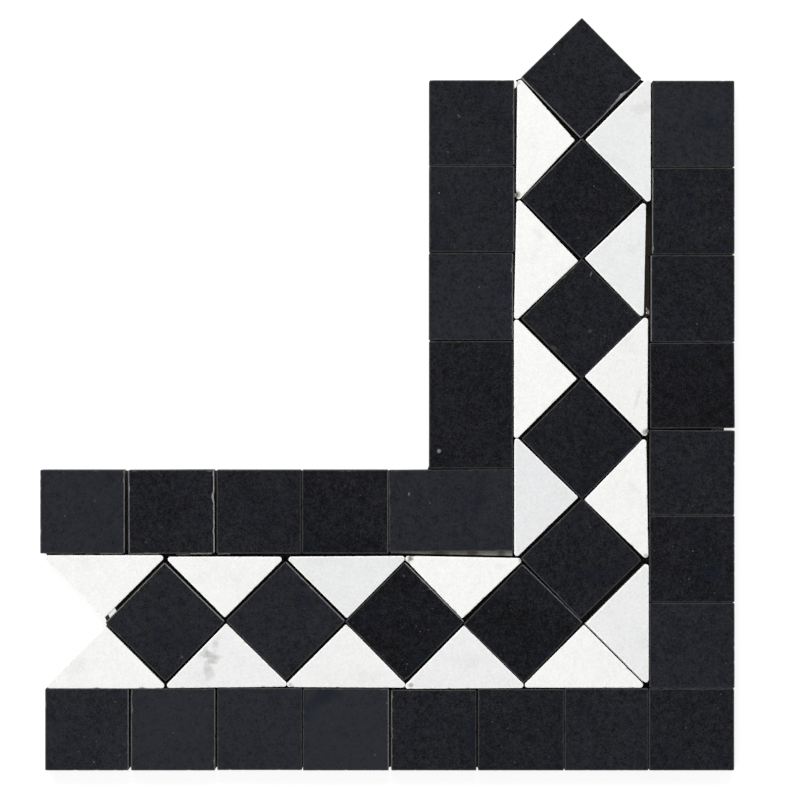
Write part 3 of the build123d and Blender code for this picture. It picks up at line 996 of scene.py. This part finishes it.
def makeCrumbs(material):
    whole = bmesh.new()
    toneLayer = whole.verts.layers.float.new("tone")
    for strip in crumbLook["strips"]:
        before = len(whole.verts)
        joinInto(whole, makeStrip(**strip))
        whole.verts.ensure_lookup_table()
        for vertex in whole.verts[before:]:
            vertex[toneLayer] = strip["pale"]
    mesh = bpy.data.meshes.new("joint_dust")
    whole.to_mesh(mesh)
    whole.free()
    mesh.materials.append(material)
    crumbs = bpy.data.objects.new("joint_dust", mesh)
    bpy.context.collection.objects.link(crumbs)
    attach(crumbs, "root")
    return crumbs


crumbs = makeCrumbs(makeCrumbPaint())
print("scene: joint dust made", len(crumbs.data.polygons))


# floor, light and camera

stageLook = {
    "floorDark": (0.42, 0.42, 0.42, 1),
    "floorLight": (0.45, 0.45, 0.45, 1),
    "floorGlow": (0.74, 0.74, 0.74, 1),  # what the camera sees on top of the floor's colour
    "floorRadius": 1.6,
    "floorDrop": 0.05 * mm,
    "sky": 0.42,
    "lens": 250,
    "sensor": 36,
    "lamps": [
        dict(name="softboxNorth", place=(-0.3, 1.4, 2.2), size=1.3, power=38.0),
        dict(name="softboxWest", place=(-2.1, -0.9, 2.0), size=1.4, power=22.0),
    ],
}


def seenDirectly(nodes):
    # 1 for rays from the camera, and for those that metal or glass sends on
    rays = nodes.new("ShaderNodeLightPath")
    seen = Wire(rays.outputs["Is Camera Ray"])
    for label in ("Is Glossy Ray", "Is Transmission Ray"):
        seen = seen.atLeast(Wire(rays.outputs[label]))
    return seen


def makeFloor():
    paint = Paint("paperFloor")
    fibres = paint.grain(30 * mm, 3.0, 0.6, 1.0)
    colour = paint.blend(fibres.ramp(-0.5, 0.5), stageLook["floorDark"], stageLook["floorLight"])
    glow = paint.blend(seenDirectly(paint.nodes), (0, 0, 0, 1), stageLook["floorGlow"])
    plug(glow, paint.shader.inputs["Emission Color"])
    material = paint.finish(colour, 0.9, Emission_Strength=1.0)
    shape = bmesh.new()
    bmesh.ops.create_circle(shape, cap_ends=True, segments=96, radius=stageLook["floorRadius"])
    for vertex in shape.verts:
        vertex.co.z = -stageLook["floorDrop"]
    mesh = bpy.data.meshes.new("floor")
    shape.to_mesh(mesh)
    shape.free()
    mesh.materials.append(material)
    floor = bpy.data.objects.new("floor", mesh)
    bpy.context.collection.objects.link(floor)


def makeLamp(name, place, size, power):
    light = bpy.data.lights.new(name, "AREA")
    light.shape = "DISK"
    light.size = size
    light.energy = power
    lamp = bpy.data.objects.new(name, light)
    lamp.location = place
    lamp.rotation_euler = (-Vector(place)).to_track_quat("-Z", "Y").to_euler()
    bpy.context.collection.objects.link(lamp)


def makeWorld():
    world = bpy.data.worlds.new("studio")
    world.use_nodes = True
    nodes = world.node_tree.nodes
    sky = stageLook["sky"]
    plug(seenDirectly(nodes) * (1 - sky) + sky, nodes["Background"].inputs["Strength"])
    nodes["Background"].inputs["Color"].default_value = (1, 1, 1, 1)
    bpy.context.scene.world = world


def makeCamera():
    lens = bpy.data.cameras.new("camera")
    lens.lens = stageLook["lens"]
    lens.sensor_width = stageLook["sensor"]
    lens.clip_end = 10
    width = photo["size"] * photo["pixel"]
    camera = bpy.data.objects.new("camera", lens)
    x, y = fromPhoto(photo["size"] / 2, photo["size"] / 2)
    camera.location = (x, y, stoneTop + width * lens.lens / lens.sensor_width)
    bpy.context.collection.objects.link(camera)
    bpy.context.scene.camera = camera


makeFloor()
for lamp in stageLook["lamps"]:
    makeLamp(**lamp)
makeWorld()
makeCamera()
bpy.context.scene.view_settings.view_transform = "Standard"
print("scene: floor, light and camera made")
